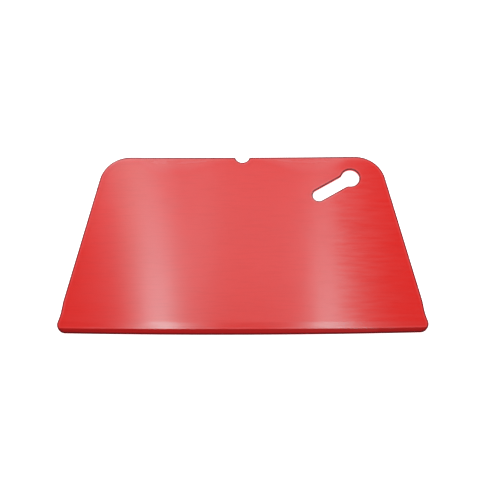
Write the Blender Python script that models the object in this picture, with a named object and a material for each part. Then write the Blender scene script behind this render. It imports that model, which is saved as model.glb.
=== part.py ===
"""One-piece moulded hand scraper for a butcher's or baker's bench, lying flat.

The part is a single trapezoidal plate: a blade edge bevelled from above along the front (-Y), a shallow
land behind it, sides that lean in towards the back, large rounded back corners, a thumb notch in the
middle of the back edge and a slanted keyhole for hanging near the right back corner. All its edges are
rounded. The origin is at the middle of the plate's box, on the underside.
"""

from math import atan2, ceil, cos, degrees, pi, radians, sin, tan

import bmesh
import bpy
from mathutils import Matrix, Vector
from mathutils.geometry import delaunay_2d_cdt

# Driving dimensions, in metres and degrees
WIDTH = 0.216  # across the front corners, the widest stretch
DEPTH = 0.112  # from the front edge's ends to the back edge's ends
THICKNESS = 0.002
SIDE_ANGLE = 12.8  # each side's lean from straight back
FRONT_CORNER_RADIUS = 0.005
BACK_CORNER_RADIUS = 0.019
WAIST_DEPTH = 0.0006  # each side dips in a little, just behind the front corner
WAIST_PLACE = 0.011  # middle of the dip, behind the front edge
WAIST_REACH = 0.009  # from the middle of the dip to where it has run out
EDGE_BOW = 0.0004  # the front edge stands forward in the middle
SHEET_BOW = 0.0008  # the whole plate bows forward in the middle

BEVEL_RUN = 0.0027  # blade bevel, front to back at its ends
EDGE_THICKNESS = 0.0005  # what the bevel leaves at the front edge
LAND_WIDTH = 0.004  # shallow strip behind the bevel
LAND_DROP = 0.0002  # how far the land falls towards the bevel

NOTCH_RADIUS = 0.0044
NOTCH_DEPTH = 0.0035
NOTCH_LIP_RADIUS = 0.0010

KEYHOLE_X = 0.0661  # middle of the keyhole's round head
KEYHOLE_BEHIND_FRONT = 0.0976  # the same point, measured from the front edge's ends
HEAD_RADIUS = 0.0055
SLOT_WIDTH = 0.0074
SLOT_LENGTH = 0.0225  # from the head's middle to the middle of the slot's round end
SLOT_ANGLE = 30.0  # slant of the slot from the blade edge
THROAT_RADIUS = 0.0028

RIM_RADIUS = 0.0005
RIM_STEPS = 3  # facets in each rounded rim edge
RIM_SHARE = 0.4  # most of the local thickness that one rim edge may take

ARC_STEP = 5.0  # degrees between points on small arcs
WIDE_ARC_STEP = 3.6  # degrees between points on the back corners
STRAIGHT_STEP = 0.009  # between points on long, nearly straight edges
WAIST_STEP = 0.0015

SMOOTH_ANGLE = 25.0  # edges flatter than this are shaded smooth
RED = (0.70, 0.035, 0.035, 1.0)

INSIDE = 1  # the triangulation keeps only what lies inside the outline
MERGE_DISTANCE = 1e-7

SIDE_SLOPE = tan(radians(SIDE_ANGLE))
HALF_WIDTH = WIDTH / 2


def waist(behind_front):
    """How far a side is set in, at a distance behind the front edge."""
    reach = abs(behind_front - WAIST_PLACE) / WAIST_REACH
    if reach >= 1:
        return 0.0
    return WAIST_DEPTH * cos(reach * pi / 2) ** 2


CORNER_REACH = FRONT_CORNER_RADIUS / tan(radians(90 - SIDE_ANGLE) / 2)
CORNER_END = CORNER_REACH * cos(radians(SIDE_ANGLE))
FRONT_HALF = (
    HALF_WIDTH
    + FRONT_CORNER_RADIUS * (SIDE_SLOPE + 1 / cos(radians(SIDE_ANGLE)) - 1)
    + waist(CORNER_END)
)
CORNER_START = FRONT_HALF - waist(CORNER_END) - CORNER_REACH
BACK_HALF = FRONT_HALF - DEPTH * SIDE_SLOPE


def arc(centre, radius, start, end, step=ARC_STEP):
    """Points on a circle from one angle to another, in degrees, both ends included."""
    count = max(1, ceil(abs(end - start) / step))
    angles = [radians(start + (end - start) * i / count) for i in range(count + 1)]
    return [Vector((centre[0] + radius * cos(a), centre[1] + radius * sin(a))) for a in angles]


def between(start, end, step):
    """Points between two ends, without the ends."""
    start, end = Vector(start), Vector(end)
    count = max(1, ceil((end - start).length / step))
    return [start.lerp(end, i / count) for i in range(1, count)]


def mirrored(points):
    """The same run of points on the left, walked the other way."""
    return [Vector((-p.x, p.y)) for p in reversed(points)]


def front_corner():
    """Right front corner, from the front edge to the side."""
    return arc((CORNER_START, FRONT_CORNER_RADIUS), FRONT_CORNER_RADIUS, -90, SIDE_ANGLE)


def back_corner():
    """Right back corner, from the side to the back edge."""
    reach = BACK_CORNER_RADIUS / tan(radians(90 + SIDE_ANGLE) / 2)
    centre = (BACK_HALF - reach, DEPTH - BACK_CORNER_RADIUS)
    return arc(centre, BACK_CORNER_RADIUS, SIDE_ANGLE, 90, WIDE_ARC_STEP)


def side(start, end):
    """Right side between its two corners, with the waist behind the front corner."""
    waist_end = WAIST_PLACE + WAIST_REACH
    heights = [p.y for p in between((0, start.y), (0, waist_end), WAIST_STEP)]
    heights += [waist_end]
    heights += [p.y for p in between((0, waist_end), (0, end.y), STRAIGHT_STEP)]
    return [Vector((FRONT_HALF - SIDE_SLOPE * y - waist(y), y)) for y in heights]


def notch_half():
    """Right half of the thumb notch, from the back edge in to its deepest point."""
    rise = NOTCH_RADIUS - NOTCH_DEPTH
    centre = Vector((0, DEPTH + rise))
    lip_y = DEPTH - NOTCH_LIP_RADIUS
    spread = NOTCH_RADIUS + NOTCH_LIP_RADIUS
    lip_x = (spread**2 - (rise + NOTCH_LIP_RADIUS) ** 2) ** 0.5
    towards_lip = degrees(atan2(lip_y - centre.y, lip_x))
    lip = arc((lip_x, lip_y), NOTCH_LIP_RADIUS, 90, towards_lip + 180, 2 * ARC_STEP)
    bowl = arc(centre, NOTCH_RADIUS, towards_lip, -90, 2 * ARC_STEP)
    return lip + bowl[1:]


def front_at(x):
    """The front edge's y at x: it stands forward in the middle, before the whole sheet's bow."""
    return -EDGE_BOW * (1 - min(1.0, abs(x) / CORNER_START) ** 2)


def front_edge():
    """The front edge between its corners."""
    points = between((-CORNER_START, 0), (CORNER_START, 0), STRAIGHT_STEP)
    return [Vector((p.x, front_at(p.x))) for p in points]


def plate_outline():
    """The plate's outline in plan, anticlockwise, with y measured from the front edge's ends."""
    corner = front_corner()
    back = back_corner()
    notch = notch_half()
    right = corner + side(corner[-1], back[0]) + back + between(back[-1], notch[0], STRAIGHT_STEP)
    right += notch
    return right + mirrored(right)[1:] + front_edge()


def keyhole_outline():
    """The keyhole's outline in plan, anticlockwise: a round head, a slot and rounded throats."""
    half = SLOT_WIDTH / 2
    spread = HEAD_RADIUS + THROAT_RADIUS
    throat_y = half + THROAT_RADIUS
    throat_x = (spread**2 - throat_y**2) ** 0.5
    turn = degrees(atan2(throat_y, throat_x))
    head = arc((0, 0), HEAD_RADIUS, turn - 180, 180 - turn, 2 * ARC_STEP)
    upper = arc((-throat_x, throat_y), THROAT_RADIUS, -turn, -90, 3 * ARC_STEP)
    lower = arc((-throat_x, -throat_y), THROAT_RADIUS, 90, turn, 3 * ARC_STEP)
    end = arc((-SLOT_LENGTH, 0), half, 90, 270, 2 * ARC_STEP)
    middle = Vector((KEYHOLE_X, KEYHOLE_BEHIND_FRONT))
    slant = Matrix.Rotation(radians(SLOT_ANGLE), 2)
    return [middle + slant @ p for p in head + upper[1:] + end + lower[:-1]]


def inset(loop, distance):
    """The loop moved to its left by a distance: into the plate, for a loop that keeps it on its left."""
    moved = []
    for i, p in enumerate(loop):
        before = p - loop[i - 1]
        after = loop[(i + 1) % len(loop)] - p
        along = before.normalized() + after.normalized()
        along.normalize()
        reach = distance[i] / max(0.5, along.dot(after.normalized()))
        moved.append(Vector((p.x - along.y * reach, p.y + along.x * reach)))
    return moved


def top_height(p):
    """Height of the upper face over a point in plan: flat, then the land, then the blade bevel."""
    land_back = BEVEL_RUN + LAND_WIDTH
    if p.y >= land_back:
        return THICKNESS
    if p.y >= BEVEL_RUN:
        return THICKNESS - LAND_DROP * (land_back - p.y) / LAND_WIDTH
    front = front_at(p.x)
    share = max(0.0, (p.y - front) / (BEVEL_RUN - front))
    return EDGE_THICKNESS + share * (THICKNESS - LAND_DROP - EDGE_THICKNESS)


def crease(ring, y):
    """A line across the plate at y, from the ring's nearest point on the left to that on the right."""
    left = min((p for p in ring if p[0] < 0), key=lambda p: abs(p[1] - y))
    right = min((p for p in ring if p[0] > 0), key=lambda p: abs(p[1] - y))
    gap = Vector((STRAIGHT_STEP / 2, 0))
    start, end = Vector((left[0], y)) + gap, Vector((right[0], y)) - gap
    middle = [start] + between(start, end, STRAIGHT_STEP) + [end]
    return [left] + [(p.x, p.y, top_height(p)) for p in middle] + [right]


def rim_rings(loop):
    """Rings of 3D points that go round the rim, from the underside's edge to the upper face's edge."""
    radii = [min(RIM_RADIUS, RIM_SHARE * top_height(p)) for p in loop]
    rings = []
    for step in range(RIM_STEPS + 1):
        turn = step / RIM_STEPS * pi / 2
        plan = inset(loop, [r * (1 - sin(turn)) for r in radii])
        rings.append([(p.x, p.y, r * (1 - cos(turn))) for p, r in zip(plan, radii)])
    for step in range(RIM_STEPS + 1):
        turn = step / RIM_STEPS * pi / 2
        plan = inset(loop, [r * (1 - cos(turn)) for r in radii])
        drop = [r * (1 - sin(turn)) for r in radii]
        rings.append([(p.x, p.y, top_height(p) - d) for p, d in zip(plan, drop)])
    return rings


def fill(bm, outer, hole, lines=()):
    """Fills the plan between an outer ring of vertices and a hole's ring, with creases along the lines."""
    verts = outer + hole
    outline = list(range(len(outer)))
    edges = list(zip(outline, outline[1:] + outline[:1]))
    for line in lines:
        ends = [min(outline, key=lambda i: (verts[i].co - Vector(p)).length) for p in (line[0], line[-1])]
        inner = [bm.verts.new(p) for p in line[1:-1]]
        chain = ends[:1] + list(range(len(verts), len(verts) + len(inner))) + ends[1:]
        verts = verts + inner
        edges += list(zip(chain, chain[1:]))
    plan = [v.co.to_2d() for v in verts]
    opening = [verts.index(v) for v in reversed(hole)]
    _, _, faces, origins, _, in_hole = delaunay_2d_cdt(plan, edges, [opening], INSIDE, MERGE_DISTANCE)
    for face, inside in zip(faces, in_hole):
        if not inside:
            bm.faces.new([verts[origins[i][0]] for i in face])


def bow_sheet(bm):
    """Bows the whole plate forward in the middle, then centres its box on the origin."""
    for v in bm.verts:
        v.co.y -= SHEET_BOW * (1 - (v.co.x / HALF_WIDTH) ** 2)
    lowest = min(v.co.y for v in bm.verts)
    highest = max(v.co.y for v in bm.verts)
    bmesh.ops.translate(bm, vec=(0, -(lowest + highest) / 2, 0), verts=bm.verts)


def blade_mesh():
    """The plate as one closed body: rounded rims round its outline and keyhole, and its two faces."""
    bm = bmesh.new()
    undersides = []
    uppers = []
    for loop in (plate_outline(), list(reversed(keyhole_outline()))):
        rings = [[bm.verts.new(p) for p in ring] for ring in rim_rings(loop)]
        for low, high in zip(rings, rings[1:]):
            for i in range(len(low)):
                after = (i + 1) % len(low)
                bm.faces.new((low[i], low[after], high[after], high[i]))
        undersides.append(rings[0])
        uppers.append(rings[-1])
    rim_top = [tuple(v.co) for v in uppers[0]]
    fill(bm, *undersides)
    fill(bm, *uppers, [crease(rim_top, BEVEL_RUN), crease(rim_top, BEVEL_RUN + LAND_WIDTH)])
    bow_sheet(bm)
    bmesh.ops.recalc_face_normals(bm, faces=bm.faces)
    mesh = bpy.data.meshes.new("scraper_blade")
    bm.to_mesh(mesh)
    bm.free()
    mesh.shade_smooth()
    mesh.set_sharp_from_angle(angle=radians(SMOOTH_ANGLE))
    return mesh


def red_plastic():
    """Red moulded plastic with a satin gloss."""
    material = bpy.data.materials.new("red_plastic")
    material.use_nodes = True
    shader = material.node_tree.nodes["Principled BSDF"]
    shader.inputs["Base Color"].default_value = RED
    shader.inputs["Roughness"].default_value = 0.35
    shader.inputs["Metallic"].default_value = 0.0
    return material


def main():
    for old in list(bpy.data.objects):
        bpy.data.objects.remove(old)
    mesh = blade_mesh()
    mesh.materials.append(red_plastic())
    blade = bpy.data.objects.new("scraper_blade", mesh)
    bpy.context.scene.collection.objects.link(blade)


main()
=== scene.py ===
"""Looks of the one-piece red plastic hand scraper: its detailed mesh, material, studio and camera.

The plate lies flat with its blade edge towards the camera. Its outline, rims, land and bevel are read
from the CAD node. This script adds a finer mesh, a back edge that rolls off a little and the brushed
plastic finish. The lamps are fitted to the highlights in the photograph.
"""

from math import atan, ceil, cos, pi, radians, sin

import bmesh
import bpy
import numpy as np
from mathutils import Matrix, Vector
from mathutils.bvhtree import BVHTree
from mathutils.geometry import delaunay_2d_cdt


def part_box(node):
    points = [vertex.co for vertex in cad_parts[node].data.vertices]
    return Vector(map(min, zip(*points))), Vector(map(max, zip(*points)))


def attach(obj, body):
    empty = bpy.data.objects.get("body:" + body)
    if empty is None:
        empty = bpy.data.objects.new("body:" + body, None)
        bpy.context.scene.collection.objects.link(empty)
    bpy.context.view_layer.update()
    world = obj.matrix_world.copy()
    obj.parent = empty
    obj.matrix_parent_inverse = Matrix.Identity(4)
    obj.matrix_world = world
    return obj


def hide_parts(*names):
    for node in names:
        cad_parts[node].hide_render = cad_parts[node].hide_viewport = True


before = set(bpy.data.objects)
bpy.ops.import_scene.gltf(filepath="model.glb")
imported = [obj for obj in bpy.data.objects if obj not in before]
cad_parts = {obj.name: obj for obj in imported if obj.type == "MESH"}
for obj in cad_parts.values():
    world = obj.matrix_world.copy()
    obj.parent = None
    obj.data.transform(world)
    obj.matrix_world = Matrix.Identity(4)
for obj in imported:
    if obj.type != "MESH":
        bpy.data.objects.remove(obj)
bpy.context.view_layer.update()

MM = 0.001
NODE = "scraper_blade"
SHEET = "scraper_blade_sheet"

# Reading the CAD
WELD = 1e-6
LEVEL = 1e-5  # heights closer than this are the same
UPRIGHT = 0.05  # a face with a smaller upward normal is part of a wall
INTERIOR = 1.0 * MM  # CAD points farther than this from every rim belong to a crease

# Mesh fineness
OUTLINE_STEP = 1.5 * MM  # longest edge along the outline
RIM_STEPS = 6  # facets in each rounded rim edge
COLUMN_STEP = 1.6 * MM
ROW_STEP = 1.6 * MM
UNDERSIDE_STEP = 6 * MM
CREASE_ROWS = [k * 0.08 * MM for k in (-3, -2, -1, 0, 1, 2, 3)]  # rows on each side of a crease
CREASE_SOFTNESS = 0.08 * MM  # half the width over which a crease is rounded
RIM_CLEARANCE = 0.3 * MM  # between the collar and the first points of the grid
COLLAR = 0.15 * MM  # a ring round each rim that keeps its shading off the face
MITRE_LIMIT = 0.5  # keeps an inset corner from running away
INSIDE = 1  # the triangulation keeps only what lies inside the outline
MERGE_DISTANCE = 1e-7

# Band along the back edge: it rolls off, is rougher, and carries scuffing and painted sheen
BAND_NARROW = 4 * MM  # its width at the notch and at the corners
BAND_WIDE = 13 * MM  # its width between them
BAND_SPREAD = (8 * MM, 40 * MM)  # from the middle, where it widens
BAND_ENDS = (50 * MM, 66 * MM)  # from the middle, where it narrows again
ROLL_OFF = 0.06 * MM  # how far the back edge lies below the face

# Materials: FACE, FRONT and RIM are the slots of FINISHES, in the same order
FACE, FRONT, RIM = range(3)
FINISHES = (
    # name, roughness, anisotropy, specular level, whether that level varies
    ("red_plastic_brushed", 0.225, 1.0, 0.5, True),
    ("red_plastic_smooth", 0.195, 0.72, 0.5, False),
    ("red_plastic_rim", 0.35, 0.0, 0.3, False),
)
RED = (0.800, 0.0205, 0.0165, 1)
RED_DEEP = (0.775, 0.0190, 0.0155, 1)
# painted shade: the dark line round the upper rim
PAINTED_EDGE_SHADE = (0.18, 0.006, 0.009, 1)
# a darker red: painted shade over the bevel, and the colour of the faint dashes
DASH_AND_BEVEL_SHADE_RED = (0.60, 0.0095, 0.0095, 1)
# painted highlight: a paler red for the catch-light inside every edge and behind the bevel's fold
PAINTED_EDGE_HIGHLIGHT = (0.80, 0.060, 0.060, 1)
# partly scuffing, partly painted sheen: a paler red standing in for the haze along the back edge
SCUFF_AND_SHEEN = (0.78, 0.088, 0.088, 1)
SPECULAR_TINT = (0.3, 0.97, 1.0, 1.0)  # highlights add little red, as in the photograph
PLASTIC_IOR = 1.5
ROUGHNESS_SWING = 0.02
BAND_ROUGHNESS = 0.06  # added on the worked band
GLOSS_SWING = 0.12  # share by which the specular level varies
BUMP_DEPTH = 0.0025 * MM
GRAIN_SHARE = 0.2  # of the bump's height

# Noise scales, in cycles per metre along X, Y and Z: small along X makes lines along the blade
FLOW = (12, 30, 30)
BRUSH = (60, 620, 620)
DASHES = (70, 900, 900)
GRAIN = (5000, 5000, 5000)
PATCHES = (60, 60, 60)
NOISE_MIDDLE = (0.3, 0.7)  # the part of a noise's range that is used
BRUSH_MIDDLE = (0.35, 0.65)
DASH_RANGE = (0.52, 0.64)  # narrow and high, so that only the peaks become dashes
DASH_TINT = 0.12  # share of the darker red, which is also the bevel's painted shade, in a dash
DASH_DULLING = 0.10  # share of the specular level lost in a dash

# Painted shade and painted highlights along the edges and the bevel, and the back band's scuffing and
# painted sheen, in mm from the nearest edge or behind the bevel's fold
RIM_SHADE = (0.15, 0.5)  # stretch of the upper rim over which the shade comes in, wall to face
DARK_LINE = (0.65, 0.95)  # the painted shade of the dark line round the upper rim ends here
DARK_LINE_EXTRA = 0.17  # added to it on the back band
# the painted highlight inside every edge comes in and goes out over these
EDGE_HIGHLIGHT_START = (0.8, 1.1)
EDGE_HIGHLIGHT_END = (1.4, 2.0)
FOLD_HIGHLIGHT = (0.5, 1.3)  # the painted highlight behind the bevel's fold ends here
FOLD_HIGHLIGHT_SHARE = 0.7
# the bevel's painted shade comes in over this stretch about the fold
FOLD_SOFTNESS = (-0.1, 0.1)
HIGHLIGHT_PATCHES = (0.3, 1.0)  # least and most of the painted highlight, by patches
# least and most of the back band's scuffing and painted sheen, by patches
SCUFF_AND_SHEEN_PATCHES = (0.5, 1.0)

# Floor
FLOOR_GLOW = 0.9
FLOOR_HALF = 4.0
FLOOR_DROP = 0.02 * MM
FLOOR_CLOUD = (3, 3, 3)
FLOOR_TONES = ((0.93, 0.93, 0.93, 1), (0.96, 0.96, 0.96, 1))
FLOOR_ROUGHNESS = 0.9

# Lamps
LAMP_HEIGHT = 1.1
CEILING_LAMPS = {
    # name: (x, y, width, length, power, turn in degrees); each faces straight down
    "left_rear_strip": (-0.308, 0.958, 0.02, 0.95, 2.12, 14.8),
    "left_middle_strip": (-0.1595, 0.256, 0.02, 0.23, 0.62, 13.3),
    "left_front_strip": (-0.136, 0.032, 0.02, 0.23, 0.82, 9.1),
    "left_haze": (-0.098, 0.33, 0.07, 0.18, 0.28, 14.0),
    "right_strip": (0.1775, -0.09, 0.02, 0.70, 2.12, 8.2),
    "middle_box": (0.023, 0.406, 0.26, 0.10, 1.14, -26.5),
}
FILL_PLACES = {"left_fill": (-0.9, 1.4, 1.0), "right_fill": (0.9, 1.4, 1.0)}
FILL_SIDE = 0.8
FILL_POWER = 16.3
WORLD = 0.12

# Camera
FRAME_SIDE = 485
CAMERA_ELEVATION = 70.02
CAMERA_TURN = 0.69
CAMERA_ROLL = -0.835
CAMERA_DISTANCE = 582.9 * MM
FOCAL_PIXELS = 974.8
CLIP = (0.01, 20)


def welded_cad():
    """The CAD node as a bmesh whose faces share their corners."""
    bm = bmesh.new()
    bm.from_mesh(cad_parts[NODE].data)
    bmesh.ops.remove_doubles(bm, verts=bm.verts, dist=WELD)
    bm.normal_update()
    return bm


def chained(edges):
    """Vertex pairs as closed loops of vertices."""
    after = {}
    for a, b in edges:
        after.setdefault(a, []).append(b)
        after.setdefault(b, []).append(a)
    loops = []
    left = set(after)
    while left:
        start = min(left, key=lambda v: v.index)
        loop = [start]
        left.discard(start)
        while True:
            onward = [v for v in after[loop[-1]] if v in left]
            if not onward:
                break
            loop.append(onward[0])
            left.discard(onward[0])
        loops.append(loop)
    return loops


def signed_area(loop):
    """Area of a loop in plan, positive where it runs anticlockwise."""
    return sum(p[0] * q[1] - q[0] * p[1] for p, q in zip(loop, loop[1:] + loop[:1])) / 2


def wall_loops(bm):
    """The outline and the keyhole: points (x, y, foot of the upright wall, top of the wall).

    The outline runs anticlockwise and the keyhole clockwise, so material is always on the left.
    """
    upright = {f for f in bm.faces if abs(f.normal.z) < UPRIGHT}
    verts = {v for f in upright for v in f.verts}
    tops = {}
    for v in verts:
        for edge in v.link_edges:
            other = edge.other_vert(v)
            if other in verts and other.co.z > v.co.z and (other.co - v.co).to_2d().length < WELD:
                tops[v] = other.co.z
    feet = [
        tuple(e.verts)
        for e in bm.edges
        if all(v in tops for v in e.verts) and any(f in upright for f in e.link_faces)
    ]
    loops = [[(v.co.x, v.co.y, v.co.z, tops[v]) for v in loop] for loop in chained(feet)]
    loops.sort(key=lambda loop: -abs(signed_area(loop)))
    outline, keyhole = loops
    if signed_area(outline) < 0:
        outline.reverse()
    if signed_area(keyhole) > 0:
        keyhole.reverse()
    return outline, keyhole


def refined(loop, step):
    """The loop with its long edges divided."""
    out = []
    for p, q in zip(loop, loop[1:] + loop[:1]):
        count = max(1, ceil((Vector(q[:2]) - Vector(p[:2])).length / step))
        for i in range(count):
            out.append(tuple(a + (b - a) * i / count for a, b in zip(p, q)))
    return out


def inset(loop, distances):
    """Plan points of the loop, each moved into the material by its own distance."""
    moved = []
    for i, p in enumerate(loop):
        here = Vector(p[:2])
        before = (here - Vector(loop[i - 1][:2])).normalized()
        after = (Vector(loop[(i + 1) % len(loop)][:2]) - here).normalized()
        along = (before + after).normalized()
        reach = distances[i] / max(MITRE_LIMIT, along.dot(after))
        moved.append(here + Vector((-along.y, along.x)) * reach)
    return moved


class Plate:
    """The CAD plate as this script needs it: its loops, creases and heights."""

    def __init__(self):
        bm = welded_cad()
        self.low, self.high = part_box(NODE)
        self.tree = BVHTree.FromBMesh(bm)
        self.loops = [refined(loop, OUTLINE_STEP) for loop in wall_loops(bm)]
        self.rim_reach = max(p[2] for loop in self.loops for p in loop)
        upper = [v.co.copy() for v in bm.verts if v.co.z > self.high.z / 2]
        bm.free()
        self.edges = []
        for loop in self.loops:
            start = np.array([p[:2] for p in loop])
            self.edges.append((start, np.roll(start, -1, axis=0)))
        inner = [p for p in upper if self.from_rim(p.x, p.y) > INTERIOR and p.y < self.low.y / 2]
        fold = [p for p in inner if p.z < self.high.z - LEVEL]
        land = [p for p in inner if p.z >= self.high.z - LEVEL]
        self.fold = np.polyfit([p.x for p in fold], [p.y for p in fold], 2)
        self.land = np.polyfit([p.x for p in land], [p.y for p in land], 2)

    def from_rim(self, x, y):
        """Distance in plan from the nearest loop, negative outside the material."""
        here = np.array((x, y))
        nearest = np.inf
        for start, end in self.edges:
            along = end - start
            share = np.clip(((here - start) * along).sum(1) / (along**2).sum(1), 0, 1)
            nearest = min(nearest, np.hypot(*(start + along * share[:, None] - here).T).min())
        crossings = 0
        for start, end in self.edges:
            spans = (start[:, 1] > y) != (end[:, 1] > y)
            a, b = start[spans], end[spans]
            crossings += (a[:, 0] + (y - a[:, 1]) * (b - a)[:, 0] / (b - a)[:, 1] > x).sum()
        return nearest if crossings % 2 else -nearest

    def fold_y(self, x):
        """Where the bevel meets the land."""
        return float(np.polyval(self.fold, x))

    def land_y(self, x):
        """Where the land meets the flat face."""
        return float(np.polyval(self.land, x))

    def cad_top(self, x, y):
        """Height of the CAD's upper face."""
        hit = self.tree.ray_cast(Vector((x, y, self.high.z + 1)), Vector((0, 0, -1)))
        return hit[0].z if hit[0] else self.high.z

    def top(self, x, y):
        """Height of the upper face with its creases rounded and its back edge rolled off."""
        spread = (-CREASE_SOFTNESS, 0, CREASE_SOFTNESS)
        height = sum(self.cad_top(x, y + s) for s in spread) / len(spread)
        return height - roll_off(self, x, y)


def smooth(value, start, end):
    """0 before start, 1 after end and a smooth rise between."""
    share = min(1.0, max(0.0, (value - start) / (end - start)))
    return share * share * (3 - 2 * share)


def back_band(plate, x, y):
    """1 at the back edge, fading over a band that is wide between the notch and the corners."""
    beside = smooth(abs(x), *BAND_SPREAD) * (1 - smooth(abs(x), *BAND_ENDS))
    width = BAND_NARROW + (BAND_WIDE - BAND_NARROW) * beside
    return 1 - smooth(plate.high.y - y, 0, width)


def roll_off(plate, x, y):
    """How far the face lies below the CAD's near the back edge."""
    return ROLL_OFF * back_band(plate, x, y)


def rim_rings(plate, loop):
    """Rings of points from the underside, round the lower rim, up the wall and over the upper rim."""
    radii = [p[2] for p in loop]
    rings = []
    for step in range(RIM_STEPS + 1):
        turn = step / RIM_STEPS * pi / 2
        plan = inset(loop, [r * (1 - sin(turn)) for r in radii])
        rings.append([(q.x, q.y, r * (1 - cos(turn))) for q, r in zip(plan, radii)])
    for step in range(RIM_STEPS + 1):
        turn = step / RIM_STEPS * pi / 2
        plan = inset(loop, [r * (1 - cos(turn)) for r in radii])
        heights = [p[3] + r * sin(turn) - roll_off(plate, *p[:2]) for p, r in zip(loop, radii)]
        rings.append([(q.x, q.y, z) for q, z in zip(plan, heights)])
    return rings


def fill(bm, rings, inner):
    """Fills the plan between the outline's ring and the keyhole's; gives back the new inner vertices."""
    outer, hole = rings
    added = [bm.verts.new(p) for p in inner]
    verts = outer + hole + added
    count = len(outer)
    edges = [(i, (i + 1) % count) for i in range(count)]
    opening = list(range(count, count + len(hole)))[::-1]
    plan = [v.co.to_2d() for v in verts]
    _, _, faces, origins, _, in_hole = delaunay_2d_cdt(plan, edges, [opening], INSIDE, MERGE_DISTANCE)
    for face, inside in zip(faces, in_hole):
        if not inside:
            bm.faces.new([verts[origins[i][0]] for i in face])
    return added


def spaced(low, high, step):
    """Evenly spaced values between two ends, both left out."""
    count = max(2, round((high - low) / step))
    return [low + (high - low) * i / count for i in range(1, count)]


def top_points(plate):
    """Points of the upper face's grid; extra rows follow each crease."""
    points = []
    for x in spaced(plate.low.x, plate.high.x, COLUMN_STEP):
        creases = (plate.fold_y(x), plate.land_y(x))
        rows = [y + row for y in creases for row in CREASE_ROWS]
        clear = CREASE_ROWS[-1] + ROW_STEP / 4
        for y in spaced(plate.low.y, plate.high.y, ROW_STEP):
            if all(abs(y - crease) > clear for crease in creases):
                rows.append(y)
        for y in rows:
            if plate.from_rim(x, y) > plate.rim_reach + COLLAR + RIM_CLEARANCE:
                points.append((x, y, plate.top(x, y)))
    return points


def underside_points(plate):
    """A coarse grid for the flat underside."""
    return [
        (x, y, 0.0)
        for x in spaced(plate.low.x, plate.high.x, UNDERSIDE_STEP)
        for y in spaced(plate.low.y, plate.high.y, UNDERSIDE_STEP)
        if plate.from_rim(x, y) > UNDERSIDE_STEP / 2
    ]


def plate_mesh(plate):
    """The plate as one closed body with its fine upper face.

    The layer upper_side is 0 on the walls and the underside and rises to 1 over the upper rim.
    """
    bm = bmesh.new()
    upper_side = bm.verts.layers.float.new("upper_side")
    undersides = []
    uppers = []
    for loop in plate.loops:
        rings = rim_rings(plate, loop)
        collar = inset(loop, [p[2] + COLLAR for p in loop])
        drops = [roll_off(plate, *p[:2]) for p in loop]
        rings.append([(q.x, q.y, plate.cad_top(q.x, q.y) - d) for q, d in zip(collar, drops)])
        rings = [[bm.verts.new(p) for p in ring] for ring in rings]
        for step, ring in enumerate(rings[RIM_STEPS + 1 :]):
            for vert in ring:
                vert[upper_side] = smooth(step / RIM_STEPS, *RIM_SHADE)
        for low, high in zip(rings, rings[1:]):
            for i in range(len(low)):
                after = (i + 1) % len(low)
                face = bm.faces.new((low[i], low[after], high[after], high[i]))
                face.material_index = FACE if high is rings[-1] else RIM
        undersides.append(rings[0])
        uppers.append(rings[-1])
    fill(bm, undersides, underside_points(plate))
    for vert in fill(bm, uppers, top_points(plate)):
        vert[upper_side] = 1.0
    bmesh.ops.recalc_face_normals(bm, faces=bm.faces)
    for face in bm.faces:
        middle = face.calc_center_median()
        if face.material_index == FACE and face.normal.z > 0 and middle.y < plate.land_y(middle.x):
            face.material_index = FRONT
    mesh = bpy.data.meshes.new(SHEET)
    bm.to_mesh(mesh)
    bm.free()
    mesh.shade_smooth()
    return mesh


def lay_out(mesh, plate):
    """UVs in plan with U along the depth, and attributes that place the finish, the scuffing, and the
    painted highlights, sheen and shade.
    """
    layer = mesh.uv_layers.new(name="plan")
    span = plate.high - plate.low
    for corner in mesh.loops:
        co = mesh.vertices[corner.vertex_index].co
        layer.data[corner.index].uv = ((co.y - plate.low.y) / span.x, (plate.high.x - co.x) / span.x)
    places = [vertex.co.to_2d() for vertex in mesh.vertices]
    values = {
        "inward": [max(0.0, plate.from_rim(x, y)) / MM for x, y in places],  # mm from the nearest edge
        "behind_fold": [(y - plate.fold_y(x)) / MM for x, y in places],  # mm behind the bevel
        "back_band": [back_band(plate, x, y) for x, y in places],
    }
    for name, numbers in values.items():
        mesh.attributes.new(name, "FLOAT", "POINT").data.foreach_set("value", numbers)


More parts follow.
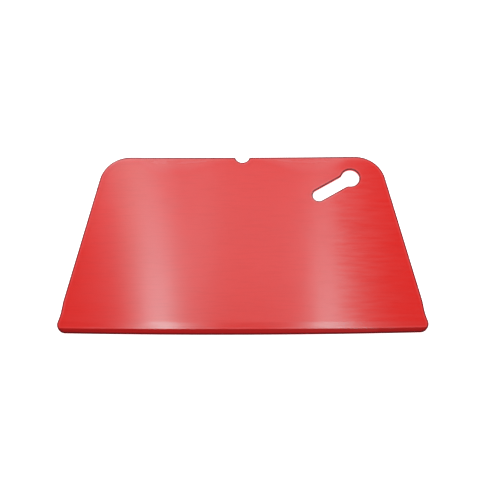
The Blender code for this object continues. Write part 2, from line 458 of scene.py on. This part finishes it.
class Nodes:
    """Short calls for building one material's nodes."""

    def __init__(self, material):
        material.use_nodes = True
        self.tree = material.node_tree
        self.shader = self.tree.nodes["Principled BSDF"]

    def put(self, value, socket):
        """Links an output to the socket, or sets the socket to a plain value."""
        if hasattr(value, "is_output"):
            self.tree.links.new(value, socket)
        else:
            socket.default_value = value

    def node(self, kind, inputs=None, **settings):
        made = self.tree.nodes.new(kind)
        for key, value in settings.items():
            setattr(made, key, value)
        for key, value in (inputs or {}).items():
            self.put(value, made.inputs[key])
        return made

    def stretched(self, scale):
        """Object coordinates scaled by a vector."""
        place = self.node("ShaderNodeTexCoord").outputs["Object"]
        return self.node("ShaderNodeMapping", {"Vector": place, "Scale": scale}).outputs["Vector"]

    def noise(self, scale, detail=2.0, roughness=0.5):
        place = self.stretched(scale)
        values = {"Vector": place, "Scale": 1.0, "Detail": detail, "Roughness": roughness}
        return self.node("ShaderNodeTexNoise", values).outputs["Fac"]

    def remap(self, value, low, high, start, end):
        """A straight line that is low at start and high at end, and level outside them."""
        values = {"Value": value, "From Min": start, "From Max": end, "To Min": low, "To Max": high}
        return self.node("ShaderNodeMapRange", values).outputs["Result"]

    def mix(self, share, a, b):
        """Colour a, giving way to b by the share."""
        made = self.node("ShaderNodeMix", data_type="RGBA")
        colours = [socket for socket in made.inputs if socket.type == "RGBA"]
        for value, socket in zip((share, a, b), (made.inputs[0], *colours)):
            self.put(value, socket)
        return [socket for socket in made.outputs if socket.type == "RGBA"][0]

    def math(self, operation, a, b):
        made = self.node("ShaderNodeMath", operation=operation)
        for value, socket in zip((a, b), made.inputs):
            self.put(value, socket)
        return made.outputs["Value"]

    def times(self, a, b):
        return self.math("MULTIPLY", a, b)

    def attribute(self, name):
        return self.node("ShaderNodeAttribute", attribute_name=name).outputs["Fac"]


def painted_highlight_share(nodes, inward, fold_highlight, patches):
    """How strong the painted highlight is: a paler line inside every rim and behind the bevel, more in
    some patches.
    """
    rim = nodes.remap(inward, 1.0, 0.0, *EDGE_HIGHLIGHT_END)
    rim = nodes.times(rim, nodes.remap(inward, 0.0, 1.0, *EDGE_HIGHLIGHT_START))
    painted_light = nodes.math("MAXIMUM", nodes.times(fold_highlight, FOLD_HIGHLIGHT_SHARE), rim)
    return nodes.times(painted_light, nodes.remap(patches, *HIGHLIGHT_PATCHES, *NOISE_MIDDLE))


def plastic_colour(nodes, dash, band):
    """The red, its faint dashes, the back band's scuffing and painted sheen, the painted highlight
    inside the edges and behind the bevel, the bevel's painted shade and the dark rim line's painted
    shade.
    """
    flow = nodes.noise(FLOW, detail=3.0)
    patches = nodes.noise(PATCHES, detail=2.0)
    inward = nodes.attribute("inward")
    behind_fold = nodes.attribute("behind_fold")
    upper = nodes.attribute("upper_side")
    colour = nodes.mix(nodes.remap(flow, 0.0, 1.0, *NOISE_MIDDLE), RED_DEEP, RED)
    colour = nodes.mix(nodes.times(dash, DASH_TINT), colour, DASH_AND_BEVEL_SHADE_RED)
    # partly scuffing, partly painted sheen on the back band
    scuff_and_sheen = nodes.times(band, nodes.remap(patches, *SCUFF_AND_SHEEN_PATCHES, *NOISE_MIDDLE))
    colour = nodes.mix(scuff_and_sheen, colour, SCUFF_AND_SHEEN)
    # painted highlight behind the bevel's fold, where the crease catches the light
    fold_highlight = nodes.times(nodes.remap(behind_fold, 1.0, 0.0, *FOLD_HIGHLIGHT), upper)
    colour = nodes.mix(painted_highlight_share(nodes, inward, fold_highlight, patches), colour, PAINTED_EDGE_HIGHLIGHT)
    # painted shade: the bevel is coloured a darker red
    bevel = nodes.times(nodes.remap(behind_fold, 1.0, 0.0, *FOLD_SOFTNESS), upper)
    colour = nodes.mix(bevel, colour, DASH_AND_BEVEL_SHADE_RED)
    # painted shade: a dark line round the upper rim, wider on the back band
    from_edge = nodes.math("SUBTRACT", inward, nodes.times(band, DARK_LINE_EXTRA))
    edge = nodes.times(nodes.remap(from_edge, 1.0, 0.0, *DARK_LINE), upper)
    return nodes.mix(edge, colour, PAINTED_EDGE_SHADE)


def red_plastic(name, roughness, anisotropy, gloss, uneven_gloss):
    """Red moulded plastic with painted highlights and painted shade along its edges; gloss is the
    specular level.
    """
    material = bpy.data.materials.new(name)
    nodes = Nodes(material)
    brush = nodes.noise(BRUSH, detail=4.0, roughness=0.6)
    grain = nodes.noise(GRAIN, detail=1.0)
    dash = nodes.remap(nodes.noise(DASHES, detail=1.0), 0.0, 1.0, *DASH_RANGE)
    band = nodes.attribute("back_band")
    rough = nodes.remap(brush, roughness - ROUGHNESS_SWING, roughness + ROUGHNESS_SWING, *NOISE_MIDDLE)
    height = nodes.math("ADD", brush, nodes.times(grain, GRAIN_SHARE))
    bump = nodes.node("ShaderNodeBump", {"Strength": 1.0, "Distance": BUMP_DEPTH, "Height": height})
    tangent = nodes.node("ShaderNodeTangent", direction_type="UV_MAP", uv_map="plan")
    level = gloss
    if uneven_gloss:
        low, high = gloss * (1 - GLOSS_SWING), gloss * (1 + GLOSS_SWING)
        dulled = nodes.math("SUBTRACT", 1.0, nodes.times(dash, DASH_DULLING))
        level = nodes.times(nodes.remap(brush, low, high, *BRUSH_MIDDLE), dulled)
    # what the export falls back to
    nodes.shader.inputs["Specular IOR Level"].default_value = gloss  # the plain level, kept as the socket's own value under any link
    settings = {
        "Base Color": plastic_colour(nodes, dash, band),
        "Roughness": nodes.math("ADD", rough, nodes.times(band, BAND_ROUGHNESS)),
        "Specular IOR Level": level,
        "Normal": bump.outputs["Normal"],
        "Tangent": tangent.outputs["Tangent"],
        "Anisotropic": anisotropy,
        "IOR": PLASTIC_IOR,
        "Specular Tint": SPECULAR_TINT,
    }
    for key, value in settings.items():
        nodes.put(value, nodes.shader.inputs[key])
    return material


def pale_floor():
    """A plain pale floor that gives off some light, so that it stays white."""
    material = bpy.data.materials.new("studio_floor")
    nodes = Nodes(material)
    settings = {
        "Base Color": nodes.mix(nodes.noise(FLOOR_CLOUD), *FLOOR_TONES),
        "Roughness": FLOOR_ROUGHNESS,
        "Emission Color": (1, 1, 1, 1),
        "Emission Strength": FLOOR_GLOW,
    }
    for key, value in settings.items():
        nodes.put(value, nodes.shader.inputs[key])
    return material


def make_floor():
    """The floor, just under the plate."""
    mesh = bpy.data.meshes.new("studio_floor")
    signs = ((-1, -1), (1, -1), (1, 1), (-1, 1))
    corners = [(x * FLOOR_HALF, y * FLOOR_HALF, -FLOOR_DROP) for x, y in signs]
    mesh.from_pydata(corners, [], [(0, 1, 2, 3)])
    mesh.materials.append(pale_floor())
    floor = bpy.data.objects.new("studio_floor", mesh)
    bpy.context.scene.collection.objects.link(floor)


def area_light(name, place, aim, size, power, turn):
    """A soft box: size across and along, and turned about its own axis by degrees."""
    data = bpy.data.lights.new(name, "AREA")
    data.shape = "RECTANGLE"
    data.size, data.size_y = size
    data.energy = power
    lamp = bpy.data.objects.new(name, data)
    place = Vector(place)
    facing = (Vector(aim) - place).to_track_quat("-Z", "Y").to_matrix().to_4x4()
    lamp.matrix_world = Matrix.Translation(place) @ facing @ Matrix.Rotation(radians(turn), 4, "Z")
    bpy.context.scene.collection.objects.link(lamp)


def make_lights():
    """The lamps overhead, the two fills and the even light of the studio."""
    for name, (x, y, width, length, power, turn) in CEILING_LAMPS.items():
        area_light(name, (x, y, LAMP_HEIGHT), (x, y, 0), (width, length), power, turn)
    for name, place in FILL_PLACES.items():
        area_light(name, place, (0, 0, 0), (FILL_SIDE, FILL_SIDE), FILL_POWER, 0)
    world = bpy.data.worlds.new("studio")
    world.use_nodes = True
    background = world.node_tree.nodes["Background"]
    background.inputs["Color"].default_value = (1, 1, 1, 1)
    background.inputs["Strength"].default_value = WORLD
    bpy.context.scene.world = world


def make_camera(plate):
    """The photograph's view: high in front of the plate, nearly square to it."""
    data = bpy.data.cameras.new("camera")
    data.sensor_fit = "HORIZONTAL"
    data.angle = 2 * atan(FRAME_SIDE / 2 / FOCAL_PIXELS)
    data.clip_start, data.clip_end = CLIP
    camera = bpy.data.objects.new("camera", data)
    turn = Matrix.Rotation(radians(CAMERA_TURN), 4, "Z")
    tilt = Matrix.Rotation(radians(90 - CAMERA_ELEVATION), 4, "X")
    roll = Matrix.Rotation(radians(CAMERA_ROLL), 4, "Z")
    facing = turn @ tilt @ roll
    aim = Vector((0, 0, plate.high.z))
    back = (turn @ tilt) @ Vector((0, 0, CAMERA_DISTANCE))
    camera.matrix_world = Matrix.Translation(aim + back) @ facing
    bpy.context.scene.collection.objects.link(camera)
    bpy.context.scene.camera = camera


def main():
    plate = Plate()
    mesh = plate_mesh(plate)
    lay_out(mesh, plate)
    for finish in FINISHES:
        mesh.materials.append(red_plastic(*finish))
    blade = bpy.data.objects.new(SHEET, mesh)
    bpy.context.scene.collection.objects.link(blade)
    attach(blade, "root")
    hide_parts(NODE)
    make_floor()
    make_lights()
    make_camera(plate)
    bpy.context.scene.view_settings.view_transform = "Standard"


main()
